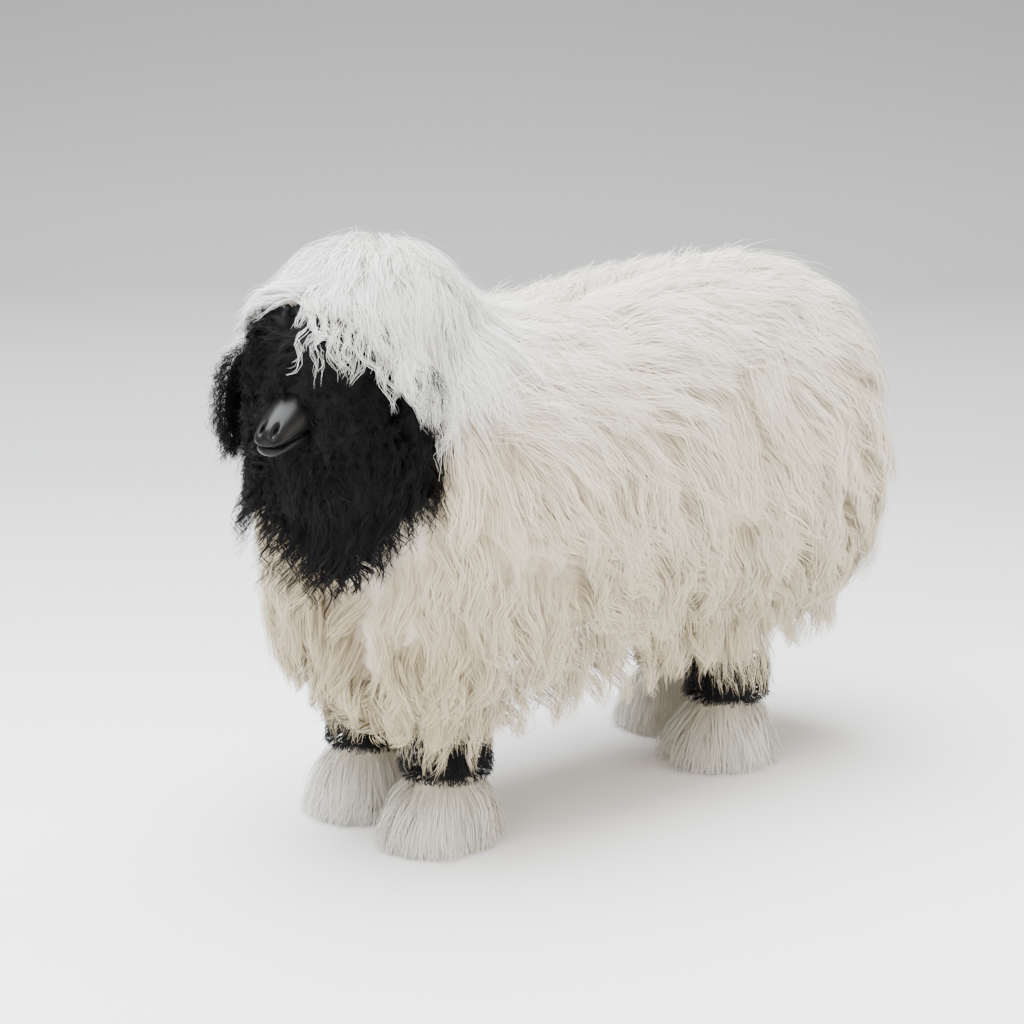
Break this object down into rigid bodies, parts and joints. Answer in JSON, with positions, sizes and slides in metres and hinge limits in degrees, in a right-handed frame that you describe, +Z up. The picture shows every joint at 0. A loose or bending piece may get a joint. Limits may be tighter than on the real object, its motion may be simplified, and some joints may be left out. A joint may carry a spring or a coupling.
{
  "type": "decorative fur-covered sheep figure",
  "caption": "Standing decorative sheep with a long white coat, black curly face, ears and ankle bands, smooth black muzzle and white brush-like feet.",
  "frame": {"origin": "on the floor under the middle of the figure's bounding box", "axes": "+X from the tail to the head, +Y to the figure's left, +Z up"},
  "size_m": [0.5507, 0.238, 0.3979],
  "materials": {
    "white_fleece": "long natural white fleece with cream roots, soft and matt",
    "black_wool": "short curly black wool, soft and matt",
    "black_muzzle": "smooth satin black, carved or moulded"
  },
  "bodies": {
    "root": {"torso": "white_fleece", "neck": "white_fleece", "crown": "white_fleece", "head": "black_wool", "muzzle": "black_muzzle", "ear_left": "black_wool", "ear_right": "black_wool", "tail": "white_fleece", "leg_front_left": "white_fleece", "leg_front_right": "white_fleece", "leg_rear_left": "white_fleece", "leg_rear_right": "white_fleece", "cuff_front_left": "black_wool", "cuff_front_right": "black_wool", "cuff_rear_left": "black_wool", "cuff_rear_right": "black_wool", "foot_front_left": "white_fleece", "foot_front_right": "white_fleece", "foot_rear_left": "white_fleece", "foot_rear_right": "white_fleece"}
  },
  "joints": []
}
